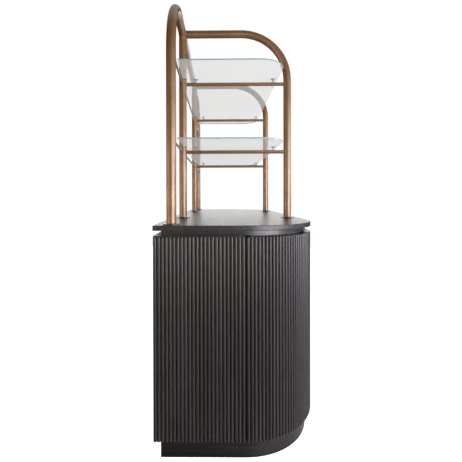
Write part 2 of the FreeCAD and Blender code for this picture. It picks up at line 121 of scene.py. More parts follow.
class CabinetSizes(bpy.types.PropertyGroup):
    """Sizes of the pieces that are modelled over the frame"""

    reed_pitch: length("Reed pitch", "Aimed width of one reed with its groove", 0.0133)
    reed_height: length("Reed height", "How far a reed stands out of its web", 0.006)
    reed_groove: length("Reed groove", "Flat strip of web between two reeds", 0.001)
    reed_ease: length("Reed ease", "Chamfer round the sawn ends of the reeds", 0.0006)
    reed_steps: IntProperty(name="Reed steps", description="Flats in the round of one reed",
                            default=12, min=4)
    web_thickness: length("Web thickness", "Web that the reeds stand on", 0.003)
    door_gap: length("Door gap", "Space between neighbouring faces", 0.003)
    bend_steps: IntProperty(name="Bend steps", description="Flats in a quarter-round corner",
                            default=32, min=8)
    slab_ease: length("Slab ease", "Rounding of the slab's edges", 0.0016)
    plinth_board: length("Plinth board", "Thickness of the plinth's boards", 0.018)
    plinth_ease: length("Plinth ease", "Rounding of the plinth's edges", 0.001)
    tube_radius: length("Tube radius", "Outside radius of the rack's posts", 0.0175)
    flange_ease: length("Flange ease", "Rounding of a foot flange's rim", 0.0014)
    flange_fillet: length("Flange fillet", "Weld fillet between a post and its flange", 0.0015)
    turning_steps: IntProperty(name="Turning steps", description="Flats round a turned piece",
                               default=64, min=16)
    glass_corner: length("Glass corner", "Radius of a glass shelf's front corners", 0.112)
    glass_notch: length("Glass notch", "Room between a shelf and the post it is cut round", 0.0015)
    glass_arris: length("Glass arris", "Ground chamfer along the edges of the glass", 0.0009)
    weld: length("Weld", "Radius of the weld fillets between the tubes", 0.0012)
    screw_head: length("Screw head", "Radius of a countersunk screw head", 0.004)
    screw_shank: length("Screw shank", "Radius of a screw under its head", 0.002)
    screw_depth: length("Screw depth", "Height of the cone of a screw head", 0.002)
    screw_dome: length("Screw dome", "How far the middle of a screw head stands out", 0.0003)
    screw_sink: length("Screw sink", "How far a strike's screw is let into its plate", 0.0002)
    recess_reach: length("Recess reach", "Length of one arm of the cross recess", 0.0022)
    recess_width: length("Recess width", "Half the width of an arm of the cross recess", 0.0006)
    recess_depth: length("Recess depth", "Depth of the cross recess", 0.001)
    leaf_length: length("Leaf length", "Reach of a hinge leaf from its pivot", 0.044)
    leaf_margin: length("Leaf margin", "From a leaf's inner end to its screw", 0.008)
    back_screws: IntProperty(name="Back screws", description="Screws along the back's long edges",
                             default=9, min=2)
    partition_screws: IntProperty(name="Partition screws", default=4, min=2,
                                  description="Screws from the back into each partition")


class CabinetFinishes(bpy.types.PropertyGroup):
    """Colours of the finishes"""

    stain: colour("Stain", "Black stain on the open-pored wood", 0.0222, 0.0208, 0.0214)
    figure: colour("Figure", "Paler figure under the stain", 0.043, 0.0405, 0.042)
    pores: colour("Pores", "Filled pores of the grain", 0.009, 0.0085, 0.008)
    # The plinth colour is painted shade: darker than the body's stain, for the shade under the
    # overhanging body
    plinth: colour("Plinth", "Darker stain on the plinth", 0.011, 0.010, 0.009)
    board: colour("Board", "Black lacquered boards inside", 0.021, 0.0203, 0.0205)
    bronze: colour("Bronze", "Satin bronze of the tubes", 0.26, 0.136, 0.051)
    patina: colour("Patina", "Darker clouding in the bronze", 0.20, 0.10, 0.036)
    flange: colour("Flange", "Dark bronze of the foot flanges", 0.075, 0.052, 0.036)
    zinc: colour("Zinc", "Bright plated hardware", 0.62, 0.62, 0.60)
    blackened: colour("Blackened steel", "Black oxide on the hinge leaves", 0.03, 0.03, 0.032)
    plastic: colour("Plastic", "Black moulded catch blocks", 0.02, 0.02, 0.021)
    # The glass colour paints a veil of reflection on the shelves, and it also gives them a painted glow
    glass: colour("Glass", "Pale veil on the clear glass", 0.88, 0.89, 0.89)
    glass_edge: colour("Glass edge", "Green of the ground glass edge", 0.26, 0.42, 0.37)
    cup: colour("Cup", "Blue cast of the clear shelf cups", 0.42, 0.42, 0.72)
    floor: colour("Floor", "Pale studio floor", 0.88, 0.88, 0.88)


class CabinetStudio(bpy.types.PropertyGroup):
    """Camera and light of the studio"""

    eye: place("Eye", "Where the camera stands", (-2.0040, 0.0719, 0.9037))
    yaw: FloatProperty(name="Yaw", description="Turn of the camera from +X towards +Y",
                       default=0.00911, subtype="ANGLE", unit="ROTATION")
    pitch: FloatProperty(name="Pitch", description="How far the camera looks down",
                         default=0.00474, subtype="ANGLE", unit="ROTATION")
    roll: FloatProperty(name="Roll", description="Turn of the camera about its view",
                        default=-0.00235, subtype="ANGLE", unit="ROTATION")
    lens: FloatProperty(name="Lens", description="Focal length on a 36 mm sensor",
                        default=27.177, unit="CAMERA")
    shift: FloatVectorProperty(name="Shift", description="Lens shift across and up",
                               default=(0.03203, -0.0692), size=2)
    front: amount("Front", "Watts of the soft panel in front of the doors", 54)
    quarter: amount("Quarter", "Watts of the soft panel beside the camera", 138)
    low: amount("Low", "Watts of the soft panel near the floor", 14)
    side: amount("Side", "Watts of the soft panel behind the back's near end", 34)
    left: amount("Left", "Watts of the soft panel on the camera's left", 14)
    back: amount("Back", "Watts of the soft panel behind that lights the base alone", 90)
    wall: amount("Wall", "Watts of the white wall beyond the far end", 92)
    ceiling: amount("Ceiling", "Watts of the soft panel overhead", 30)
    fill: amount("Fill", "Brightness of the room around the cabinet", 0.02)
    bounce: amount("Bounce", "Further brightness that the floor throws back up", 0.60)
    backdrop: amount("Backdrop", "Brightness of the plain background", 1.0)
    floor_radius: length("Floor radius", "Radius of the round studio floor", 4.6)


# Tints of the light, and the studio's soft panels: middle, width and height in metres, and tint

WHITE = (1.0, 1.0, 1.0)
COOL = (0.86, 0.93, 1.0)
PALE = (0.93, 0.92, 1.0)
CREAM = (1.0, 0.98, 0.96)
WARM = (1.0, 0.84, 0.66)
ROSE = (1.0, 0.88, 0.88)
PANELS = {
    "front": ((-0.6, -3.4, 1.5), 1.6, 0.9, COOL),
    "quarter": ((-3.1, -2.2, 0.9), 2.8, 1.2, PALE),
    "low": ((-2.5, -2.9, 0.25), 2.4, 0.6, WARM),
    "side": ((-1.5, 3.3, 1.0), 1.6, 1.0, WARM),
    "left": ((-3.4, 1.8, 0.8), 1.4, 1.0, WARM),
    "back": ((0.3, 3.8, 1.3), 3.6, 1.8, PALE),
    "wall": ((5.0, -0.3, 2.1), 4.6, 2.8, CREAM),
    "ceiling": ((0.6, 0.0, 4.4), 5.0, 4.0, PALE),
}


# Scale of a pattern along each axis, small where the grain runs

EVEN = (1.0, 1.0, 1.0)
ALONG_X = (0.02, 1.0, 1.0)
ALONG_Z = (1.0, 1.0, 0.02)
LEVEL = (0.02, 0.02, 1.0)


# Shader nodes

class Value:
    """An output socket that takes part in Python arithmetic."""

    def __init__(self, finish, socket):
        self.finish = finish
        self.socket = socket

    def math(self, operation, first, second):
        return self.finish.node("ShaderNodeMath", {"operation": operation}, {0: first, 1: second})

    def __add__(self, other):
        return self.math("ADD", self, other)

    def __sub__(self, other):
        return self.math("SUBTRACT", self, other)

    def __rsub__(self, other):
        return self.math("SUBTRACT", other, self)

    def __mul__(self, other):
        return self.math("MULTIPLY", self, other)

    __radd__ = __add__
    __rmul__ = __mul__


class Finish:
    """A material or world whose node tree is being made."""

    def __init__(self, owner, output):
        self.owner = owner
        owner.use_nodes = True
        self.tree = owner.node_tree
        self.tree.nodes.clear()
        self.output = self.tree.nodes.new(output).inputs["Surface"]

    def node(self, kind, settings=None, sockets=None, output=0):
        """Adds a node: its settings first, then a value or a link for each socket."""
        made = self.tree.nodes.new(kind)
        for name, setting in (settings or {}).items():
            setattr(made, name, setting)
        for name, value in (sockets or {}).items():
            if isinstance(value, Value):
                self.tree.links.new(value.socket, made.inputs[name])
            else:
                made.inputs[name].default_value = value
        return Value(self, made.outputs[output])

    def surface(self, shader):
        self.tree.links.new(shader.socket, self.output)
        return self.owner

    def coordinates(self, scale=EVEN):
        """Object coordinates, scaled along each axis."""
        point = self.node("ShaderNodeTexCoord", output="Object")
        return self.node("ShaderNodeMapping", sockets={"Vector": point, "Scale": scale})

    def noise(self, point, scale, detail=3.0, distortion=0.0):
        return self.node("ShaderNodeTexNoise", sockets={
            "Vector": point, "Scale": scale, "Detail": detail, "Distortion": distortion})

    def step(self, value, low, high):
        """0 up to low, 1 from high on and smooth between them. High may be the lesser."""
        return self.node("ShaderNodeMapRange", {"interpolation_type": "SMOOTHSTEP"}, {
            "Value": value, "From Min": low, "From Max": high})

    def mix(self, factor, first, second):
        return self.node("ShaderNodeMix", {"data_type": "RGBA"}, {0: factor, 6: first, 7: second}, 2)

    def bump(self, height, distance, strength=1.0):
        return self.node("ShaderNodeBump", sockets={
            "Height": height, "Distance": distance, "Strength": strength})

    def principled(self, **sockets):
        """The surface shader, with the words of each socket's name joined by _."""
        named = {name.replace("_", " "): value for name, value in sockets.items()}
        return self.surface(self.node("ShaderNodeBsdfPrincipled", sockets=named))


def material(name):
    return Finish(bpy.data.materials.new(name), "ShaderNodeOutputMaterial")


def look():
    return bpy.context.scene.cabinet_finishes


# Finishes

def once(make):
    """A finish is made the first time its name is asked for, and shared after that."""
    def shared(name=make.__name__, **settings):
        return bpy.data.materials.get(name) or make(name, **settings)
    return shared


@once
def stained_wood(name, grain, roughness, relief, stain, streak):
    """Open-pored wood, stained black: grain is the scale of its figure along each axis."""
    finish = material(name)
    point = finish.coordinates(grain)
    figure = finish.noise(point, scale=90.0, detail=4.0, distortion=0.8)
    board = finish.noise(point, scale=28.0, detail=2.0)
    pores = finish.step(finish.noise(point, scale=620.0, detail=2.0, distortion=0.2),
                        low=0.53, high=0.66)
    tone = finish.mix(finish.step(0.6 * figure + 0.4 * board, low=0.36, high=0.66), stain, streak)
    return finish.principled(
        Base_Color=finish.mix(pores, tone, look().pores),
        Roughness=roughness + 0.10 * pores + 0.06 * figure,
        Normal=finish.bump(0.35 * figure - pores, distance=0.00012, strength=relief))


@once
def lacquered_board(name):
    """Flat black lacquer over board, with a little orange peel."""
    finish = material(name)
    point = finish.coordinates()
    peel = finish.noise(point, scale=700.0, detail=2.0)
    cloud = finish.noise(point, scale=9.0)
    return finish.principled(
        Base_Color=finish.mix(0.4 * cloud, look().board, look().figure),
        Roughness=0.46 + 0.08 * cloud,
        Normal=finish.bump(peel, distance=0.0001, strength=0.4))


@once
def satin_bronze(name, bright, dark):
    """Bronzed steel tube with a clouded satin finish."""
    finish = material(name)
    point = finish.coordinates()
    cloud = finish.step(finish.noise(point, scale=16.0, detail=5.0, distortion=0.4),
                        low=0.32, high=0.72)
    speck = finish.noise(point, scale=850.0, detail=2.0)
    return finish.principled(
        Base_Color=finish.mix(0.7 * cloud + 0.3 * speck, bright, dark),
        Metallic=0.45 + 0.1 * cloud,
        Roughness=0.40 + 0.08 * cloud + 0.06 * speck,
        Coat_Weight=1.0,
        Coat_Roughness=0.32,
        Normal=finish.bump(speck, distance=0.00004, strength=0.5))


@once
def metal_hardware(name, plating):
    """Plated or blackened steel with fine handling marks."""
    finish = material(name)
    marks = finish.noise(finish.coordinates((1.0, 1.0, 0.2)), scale=400.0)
    return finish.principled(
        Base_Color=plating,
        Metallic=1.0,
        Roughness=0.24 + 0.2 * marks)


@once
def moulded_plastic(name):
    """Black moulded plastic with a fine spark texture."""
    finish = material(name)
    spark = finish.noise(finish.coordinates(), scale=1400.0, detail=2.0)
    return finish.principled(
        Base_Color=look().plastic,
        Roughness=0.42 + 0.12 * spark,
        Normal=finish.bump(spark, distance=0.00005, strength=0.5))


@once
def glass_with_painted_veil(name):
    """Polished float glass: clear from above, and at a low angle a pale veil that is painted reflection.
    """
    finish = material(name)
    wiping = finish.noise(finish.coordinates((1.0, 3.0, 1.0)), scale=5.0, detail=4.0,
                          distortion=1.2)
    slant = finish.node("ShaderNodeLayerWeight", output="Facing")
    return finish.principled(
        Base_Color=look().glass,
        Roughness=0.30 + 0.06 * wiping,
        Specular_IOR_Level=0.1,
        # Painted glow: the glass gives off a little light of its own, though it is no lamp
        Emission_Color=look().glass,
        Emission_Strength=0.38,
        # The veil thickens at a low angle, where it stands for painted reflection
        Alpha=0.05 + 0.27 * finish.step(slant, low=0.2, high=0.62))


@once
def ground_glass_edge(name):
    """Ground and polished edge, which shows green where it is seen square on."""
    finish = material(name)
    grinding = finish.noise(finish.coordinates((1.0, 1.0, 6.0)), scale=260.0)
    slant = finish.node("ShaderNodeLayerWeight", output="Facing")
    return finish.principled(
        Base_Color=look().glass_edge,
        Roughness=0.16 + 0.2 * grinding,
        Alpha=1.0 - 0.85 * finish.step(slant, low=0.5, high=0.85))


@once
def soft_cup(name):
    """Soft clear plastic with a blue cast."""
    finish = material(name)
    haze = finish.noise(finish.coordinates(), scale=120.0, detail=2.0)
    return finish.principled(
        Base_Color=look().cup,
        Roughness=0.10 + 0.14 * haze,
        Alpha=0.60 + 0.15 * haze)


@once
def studio_paint(name):
    """Matt pale floor paint, bright enough to merge with the background."""
    finish = material(name)
    cloud = finish.noise(finish.coordinates(), scale=1.5, detail=2.0)
    return finish.principled(
        Base_Color=look().floor,
        Roughness=0.75 + 0.1 * cloud,
        Emission_Color=look().floor,
        Emission_Strength=1.15)


def reed_wood():
    return stained_wood("stained_wood_upright", grain=ALONG_Z, roughness=0.31, relief=0.5,
                        stain=look().stain, streak=look().figure)


def slab_wood():
    return stained_wood("stained_wood_along_top", grain=ALONG_X, roughness=0.32, relief=0.7,
                        stain=look().stain, streak=look().figure)


def neck_wood():
    return stained_wood("stained_wood_neck", grain=LEVEL, roughness=0.28, relief=0.4,
                        stain=look().stain, streak=look().figure)


def plinth_wood():
    # The plinth's darker colour, passed in as its stain, is painted shade under the overhanging body
    return stained_wood("stained_wood_level", grain=LEVEL, roughness=0.24, relief=0.4,
                        stain=look().plinth, streak=look().stain)


def rack_bronze():
    return satin_bronze(bright=look().bronze, dark=look().patina)


def flange_bronze():
    return satin_bronze("dark_bronze", bright=look().flange, dark=look().stain)


def blackened_steel():
    return metal_hardware("blackened_steel", plating=look().blackened)


def plated_steel():
    return metal_hardware("plated_steel", plating=look().zinc)


def dress(finish, *nodes):
    """Gives CAD nodes a finish."""
    for name in nodes:
        mesh = frame["nodes"][name].data
        mesh.materials.clear()
        mesh.materials.append(finish)


# Meshes

def verts_of(geometry):
    return [item for item in geometry if isinstance(item, bmesh.types.BMVert)]


def is_level(face):
    """Whether a face looks up or down rather than sideways."""
    return abs(face.normal.z) > 0.5


def spread(first, last, count):
    """Evenly spaced numbers from the first to the last."""
    return [first + (last - first) * i / (count - 1) for i in range(count)]


def middle_of(node):
    return sum(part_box(node), Vector((0, 0, 0))) / 2


def add_piece(name, bm, body, finishes, replaces, smooth=ROUND_SMOOTH):
    """Makes a finished bmesh a piece of the object, on its body, smooth up to an angle."""
    mesh = bpy.data.meshes.new(name)
    bm.to_mesh(mesh)
    bm.free()
    mesh.shade_smooth()
    mesh.set_sharp_from_angle(angle=radians(smooth))
    for finish in finishes:
        mesh.materials.append(finish)
    piece = bpy.data.objects.new(name, mesh)
    bpy.context.scene.collection.objects.link(piece)
    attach(piece, body)
    if replaces:
        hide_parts(*replaces)
    return piece


class Outline:
    """A level outline, drawn from point to point, that is filled and raised to a board."""

    def __init__(self, x, y, z):
        self.bm = bmesh.new()
        self.z = z
        self.tip = bmesh.ops.create_vert(self.bm, co=(x, y, z))["vert"][0]

    def line(self, x, y):
        self.tip = bmesh.ops.extrude_vert_indiv(self.bm, verts=[self.tip])["verts"][0]
        self.tip.co = (x, y, self.z)

    def arc(self, x, y, angle, steps):
        """Carries the outline round a centre, anticlockwise where the angle is positive."""
        spun = bmesh.ops.spin(self.bm, geom=[self.tip], cent=(x, y, self.z), axis=UP,
                              angle=angle, steps=steps)
        self.tip = verts_of(spun["geom_last"])[0]

    def repeat(self, copies, angle=0.0, shift=(0, 0, 0)):
        """Copies what is drawn so far, through an angle about the origin or by a shift each time."""
        bmesh.ops.spin(self.bm, geom=self.bm.verts[:] + self.bm.edges[:], cent=(0, 0, self.z),
                       axis=UP, dvec=shift, angle=angle, steps=copies, use_duplicate=True)
        bmesh.ops.remove_doubles(self.bm, verts=self.bm.verts, dist=MERGE)

    def fill(self):
        """Closes the outline and fills it with one face."""
        bmesh.ops.remove_doubles(self.bm, verts=self.bm.verts, dist=MERGE)
        bmesh.ops.edgeloop_fill(self.bm, edges=self.bm.edges)
        bmesh.ops.recalc_face_normals(self.bm, faces=self.bm.faces)

    def rise(self, height):
        """Raises the filled outline to a closed board and gives its level faces."""
        grown = bmesh.ops.extrude_face_region(self.bm, geom=self.bm.faces[:])
        bmesh.ops.translate(self.bm, verts=verts_of(grown["geom"]), vec=height * UP)
        bmesh.ops.recalc_face_normals(self.bm, faces=self.bm.faces)
        return [face for face in self.bm.faces if is_level(face)]

    def round_rims(self, faces, ease, steps=3):
        """Rounds the edges between level faces and upright ones."""
        rims = {edge for face in faces for edge in face.edges
                if not all(is_level(side) for side in edge.link_faces)}
        bmesh.ops.bevel(self.bm, geom=list(rims), offset=ease, affect="EDGES",
                        segments=steps, profile=0.5, material=-1)


def rounded_plan(low, high, bend_radius, steps, posts=(), notch=0.0):
    """Filled plan of a board: square back corners, quarter-round front ones, notches for posts."""
    plan = Outline(low.x, high.y, low.z)
    plan.line(low.x, low.y + bend_radius)
    plan.arc(low.x + bend_radius, low.y + bend_radius, pi / 2, steps)
    plan.line(high.x - bend_radius, low.y)
    plan.arc(high.x - bend_radius, low.y + bend_radius, pi / 2, steps)
    plan.line(high.x, high.y)
    for post in posts:
        plan.line(post.x + notch, high.y)
        plan.arc(post.x, high.y, -pi, steps)
    plan.line(low.x, high.y)
    plan.fill()
    return plan


def turned(bm, profile, centre, steps):
    """Turns a profile of (radius, height) points, from axis to axis, about an upright axis."""
    radius, height = profile[0]
    tip = bmesh.ops.create_vert(bm, co=(centre.x + radius, centre.y, height))["vert"][0]
    edges = []
    for radius, height in profile[1:]:
        grown = bmesh.ops.extrude_vert_indiv(bm, verts=[tip])
        tip = grown["verts"][0]
        tip.co = (centre.x + radius, centre.y, height)
        edges += grown["edges"]
    points = {vert for edge in edges for vert in edge.verts}
    bmesh.ops.spin(bm, geom=list(points) + edges, cent=centre, axis=UP, angle=2 * pi,
                   steps=steps, use_merge=True)


# Reeded faces

def draw_reed(plan, right, sizes):
    """Draws one reed on the web from the outline's tip to a point, groove halves included."""
    left = plan.tip.co.xy
    chord = right - left
    along = chord.normalized()
    out = Vector((along.y, -along.x))
    half = (chord.length - sizes.reed_groove) / 2
    radius = (half**2 + sizes.reed_height**2) / (2 * sizes.reed_height)
    centre = (left + right) / 2 + out * (sizes.reed_height - radius)
    start = left + along * sizes.reed_groove / 2
    plan.line(*start)
    plan.arc(*centre, 2 * atan2(half, radius - sizes.reed_height), sizes.reed_steps)
    plan.line(*right)


def raise_reeds(plan, height, ease):
    """Fills and raises a reeded outline, with a chamfer round its two ends."""
    plan.fill()
    bmesh.ops.translate(plan.bm, verts=plan.bm.verts, vec=ease * UP)
    for face in plan.rise(height - 2 * ease):
        bmesh.ops.inset_region(plan.bm, faces=[face], thickness=ease, depth=ease,
                               use_even_offset=True)
    return plan.bm


def straight_reeds(run, height, sizes):
    """Reeds side by side along X, facing -Y, with the grooves at Y 0."""
    count = floor(run / sizes.reed_pitch + 0.5)
    pitch = run / count
    plan = Outline(0, 0, 0)
    draw_reed(plan, Vector((pitch, 0)), sizes)
    plan.repeat(count - 1, shift=(pitch, 0, 0))
    plan.tip = max(plan.bm.verts, key=lambda vert: vert.co.x)
    plan.line(run, sizes.web_thickness)
    plan.line(0, sizes.web_thickness)
    plan.line(0, 0)
    return raise_reeds(plan, height, sizes.reed_ease)


def fanned_reeds(crest_radius, sweep, height, sizes):
    """Reeds fanned about the origin, facing -Y in the middle of the sweep."""
    count = floor(crest_radius * sweep / sizes.reed_pitch + 0.5)
    root = crest_radius - sizes.reed_height
    back = root - sizes.web_thickness
    first, last = -pi / 2 - sweep / 2, -pi / 2 + sweep / 2

    def polar(radius, angle):
        return Vector((radius * cos(angle), radius * sin(angle)))

    plan = Outline(*polar(root, first), 0)
    draw_reed(plan, polar(root, first + sweep / count), sizes)
    plan.repeat(count - 1, angle=sweep * (count - 1) / count)
    end = polar(root, last)
    plan.tip = min(plan.bm.verts, key=lambda vert: (vert.co.xy - end).length)
    plan.line(*polar(back, last))
    plan.arc(0, 0, -sweep, sizes.bend_steps)
    plan.line(*polar(root, first))
    return raise_reeds(plan, height, sizes.reed_ease)


class CABINET_OT_reeded_faces(bpy.types.Operator):
    """Reeded facings of the two ends, the corner doors and the front doors"""

    bl_idname = "cabinet.reeded_faces"
    bl_label = "Reeded faces"

    def execute(self, context):
        sizes = context.scene.cabinet_sizes
        for side, sign in SIDES.items():
            self.end_face(sizes, side, sign)
            self.corner_face(sizes, side, sign)
            self.front_face(sizes, side)
        return {"FINISHED"}

    def seat(self, bm, turn, origin, node, body):
        """Turns and moves a reeded face to its place, where it stands for the CAD facing."""
        bmesh.ops.transform(bm, verts=bm.verts,
                            matrix=Matrix.Translation(origin) @ Matrix.Rotation(turn, 4, "Z"))
        add_piece(node.replace("facing", "reeds"), bm, body, [reed_wood()], [node])

    def end_face(self, sizes, side, sign):
        node = f"{side}_end_facing"
        low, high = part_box(node)
        bm = straight_reeds(high.y - low.y, high.z - low.z, sizes)
        root = (low.x if sign < 0 else high.x) - sign * sizes.reed_height
        start = high.y if sign < 0 else low.y
        self.seat(bm, sign * pi / 2, (root, start, low.z), node, "cabinet")

    def corner_face(self, sizes, side, sign):
        door = f"{side}_corner_door"
        low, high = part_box(f"{door}_facing")
        crest = abs(low.x if sign < 0 else high.x) - BEND_X
        sweep = pi / 2 - sizes.door_gap / crest
        bm = fanned_reeds(crest, sweep, high.z - low.z, sizes)
        self.seat(bm, sign * pi / 4, (sign * BEND_X, BEND_Y, low.z), f"{door}_facing", door)

    def front_face(self, sizes, side):
        door = f"{side}_front_door"
        low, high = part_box(f"{door}_facing")
        bm = straight_reeds(high.x - low.x, high.z - low.z, sizes)
        self.seat(bm, 0, (low.x, low.y + sizes.reed_height, low.z), f"{door}_facing", door)


class CABINET_OT_top_slab(bpy.types.Operator):
    """Top slab with eased edges, and the recessed neck board under it"""

    bl_idname = "cabinet.top_slab"
    bl_label = "Top slab and neck"

    def execute(self, context):
        sizes = context.scene.cabinet_sizes
        plan = rounded_plan(SLAB_LOW, SLAB_HIGH, -BEND_X - SLAB_LOW.x, sizes.bend_steps)
        plan.round_rims(plan.rise(SLAB_HIGH.z - SLAB_LOW.z), sizes.slab_ease)
        add_piece("eased_top_slab", plan.bm, "cabinet", [slab_wood()], ["top_slab"],
                  BEND_SMOOTH)
        dress(neck_wood(), "neck_board")
        return {"FINISHED"}


class CABINET_OT_plinth(bpy.types.Operator):
    """Plinth skirt with bent front corners, on bearers"""

    bl_idname = "cabinet.plinth"
    bl_label = "Plinth"

    def execute(self, context):
        sizes = context.scene.cabinet_sizes
        rails = ["plinth_front_rail", "plinth_left_corner", "plinth_right_corner",
                 "plinth_left_rail", "plinth_right_rail", "plinth_back_rail"]
        boxes = [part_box(rail) for rail in rails]
        low = Vector(min(axis) for axis in zip(*(box[0] for box in boxes)))
        high = Vector(max(axis) for axis in zip(*(box[1] for box in boxes)))
        plan = rounded_plan(low, high, -BEND_X - low.x, sizes.bend_steps)
        middle = plan.bm.faces[:]
        bmesh.ops.inset_region(plan.bm, faces=middle, thickness=sizes.plinth_board,
                               use_even_offset=True, use_boundary=True)
        bmesh.ops.delete(plan.bm, geom=middle, context="FACES")
        plan.round_rims(plan.rise(high.z - low.z), sizes.plinth_ease, steps=2)
        add_piece("plinth_skirt", plan.bm, "cabinet", [plinth_wood()], rails,
                  BEND_SMOOTH)
        dress(plinth_wood(), "plinth_bearers")
        return {"FINISHED"}


class CABINET_OT_carcass(bpy.types.Operator):
    """Carcass boards, shelves and door cores"""

    bl_idname = "cabinet.carcass"
    bl_label = "Carcass"

    def execute(self, context):
        boards = ["bottom_panel", "top_panel", "back_panel", "centre_shelf"]
        for side in SIDES:
            boards += [f"{side}_partition", f"{side}_corner_shelf"]
            dress(reed_wood(), f"{side}_end_panel")
        dress(lacquered_board(), *boards)
        dress(reed_wood(), *(f"{door}_core" for door in DOORS))
        return {"FINISHED"}


class CABINET_OT_tube_rack(bpy.types.Operator):
    """Arch, hoops, posts and rails of the tube rack"""

    bl_idname = "cabinet.tube_rack"
    bl_label = "Tube rack"

    def execute(self, context):
        tubes = ["back_arch"]
        for side in SIDES:
            tubes += [f"{side}_back_post", f"{side}_hoop"]
            tubes += [f"{level}_{side}_cross_rail" for level in SHELVES]
        tubes += [f"{level}_back_rails" for level in SHELVES]
        dress(rack_bronze(), *tubes, "post_plugs")
        sizes = context.scene.cabinet_sizes
        tube = sizes.tube_radius
        self.back_y = middle_of("left_back_post").y
        self.front_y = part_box("left_hoop")[0].y + tube
        self.arch_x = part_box("back_arch")[1].x - tube
        self.hoop_x = middle_of("right_hoop").x
        self.top_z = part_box("back_arch")[1].z - tube
        self.flanges(sizes)
        self.welds(sizes)
        return {"FINISHED"}

    def flanges(self, sizes):
        """Turned foot flanges with a rounded rim, welded to the posts."""
        low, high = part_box("foot_flanges")
        rim = sizes.flange_ease
        fillet = sizes.flange_fillet
        tube = sizes.tube_radius
        radius = high.x - self.arch_x
        quarter = (0, pi / 6, pi / 3, pi / 2)
        corner = [(radius - rim * (1 - cos(turn)), high.z - rim * (1 - sin(turn))) for turn in quarter]
        neck = [(tube + fillet * (1 - sin(turn)), high.z + fillet * (1 - cos(turn))) for turn in quarter]
        profile = [(0, low.z), (radius - rim / 2, low.z), (radius, low.z + rim / 2),
                   *corner, *neck, (0, high.z + fillet)]
        bm = bmesh.new()
        for sign in SIDES.values():
            for x, y in [(self.arch_x, self.back_y), (self.hoop_x, self.back_y),
                         (self.hoop_x, self.front_y)]:
                turned(bm, profile, Vector((sign * x, y, low.z)), sizes.turning_steps)
        bmesh.ops.remove_doubles(bm, verts=bm.verts, dist=MERGE)
        bmesh.ops.recalc_face_normals(bm, faces=bm.faces)
        add_piece("welded_flanges", bm, "cabinet", [flange_bronze()], ["foot_flanges"])

    def welds(self, sizes):
        """Weld fillets where the posts, hoops and rails meet the tubes that carry them."""
        bm = bmesh.new()
        tube = sizes.tube_radius
        for sign in SIDES.values():
            arch = Vector((sign * self.arch_x, self.back_y, 0))
            post = Vector((sign * self.hoop_x, self.back_y, 0))
            leg = Vector((sign * self.hoop_x, self.front_y, 0))
            crown = post + self.top_z * UP
            self.fillet(bm, sizes, crown, -UP, ALONG, tube)
            self.fillet(bm, sizes, crown, -BACK, ALONG, tube)
            for level in SHELVES:
                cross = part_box(f"{level}_left_cross_rail")
                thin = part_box(f"{level}_back_rails")
                rise = middle_of(f"{level}_left_cross_rail").z * UP
                thick_radius = (cross[1].z - cross[0].z) / 2
                thin_radius = (thin[1].z - thin[0].z) / 2
                self.fillet(bm, sizes, leg + rise, BACK, UP, thick_radius)
                self.fillet(bm, sizes, post + rise, -BACK, UP, thick_radius)
                self.fillet(bm, sizes, post + rise, ALONG, UP, thin_radius)
                self.fillet(bm, sizes, post + rise, -ALONG, UP, thin_radius)
                self.fillet(bm, sizes, arch + rise, -sign * ALONG, UP, thin_radius)
        bmesh.ops.remove_doubles(bm, verts=bm.verts, dist=MERGE)
        bmesh.ops.recalc_face_normals(bm, faces=bm.faces)
        add_piece("rack_welds", bm, "cabinet", [rack_bronze()], [])

    def fillet(self, bm, sizes, joint, away, tube_axis, rail_radius):
        """A ring round a rail that leaves a tube's axis at a joint: it follows the tube's side."""
        tube = sizes.tube_radius
        turn = Matrix((tube_axis, away.cross(tube_axis), away)).transposed().to_4x4()
        bead = bmesh.ops.create_circle(bm, segments=BEAD_STEPS, radius=sizes.weld,
                                       matrix=Matrix.Translation((rail_radius, 0, 0))
                                       @ Matrix.Rotation(pi / 2, 4, "X"))["verts"]
        edges = list({edge for vert in bead for edge in vert.link_edges})
        before = set(bm.verts) - set(bead)
        bmesh.ops.spin(bm, geom=bead + edges, cent=(0, 0, 0), axis=UP, angle=2 * pi,
                       steps=sizes.turning_steps // 2, use_merge=True)
        ring = [vert for vert in bm.verts if vert not in before]
        for vert in ring:
            vert.co.z += sqrt(max(tube**2 - vert.co.y**2, 0))
        bmesh.ops.transform(bm, verts=ring, matrix=Matrix.Translation(joint) @ turn)


class CABINET_OT_glass_shelves(bpy.types.Operator):
    """Glass shelves with ground edges, and the clear cups that carry them"""

    bl_idname = "cabinet.glass_shelves"
    bl_label = "Glass shelves"

    def execute(self, context):
        sizes = context.scene.cabinet_sizes
        posts = [middle_of(f"{side}_back_post") for side in ("right", "left")]
        notch = sizes.tube_radius + sizes.glass_notch
        for level in SHELVES:
            node = f"{level}_glass_shelf"
            low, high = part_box(node)
            plan = rounded_plan(low, high, sizes.glass_corner, sizes.bend_steps, posts, notch)
            faces = plan.rise(high.z - low.z)
            for face in plan.bm.faces:
                face.material_index = int(face not in faces)
            plan.round_rims(faces, sizes.glass_arris, steps=2)
            add_piece(f"{level}_glass", plan.bm, "cabinet",
                      [glass_with_painted_veil(), ground_glass_edge()], [node], BEND_SMOOTH)
            dress(soft_cup(), f"{level}_cups")
        return {"FINISHED"}


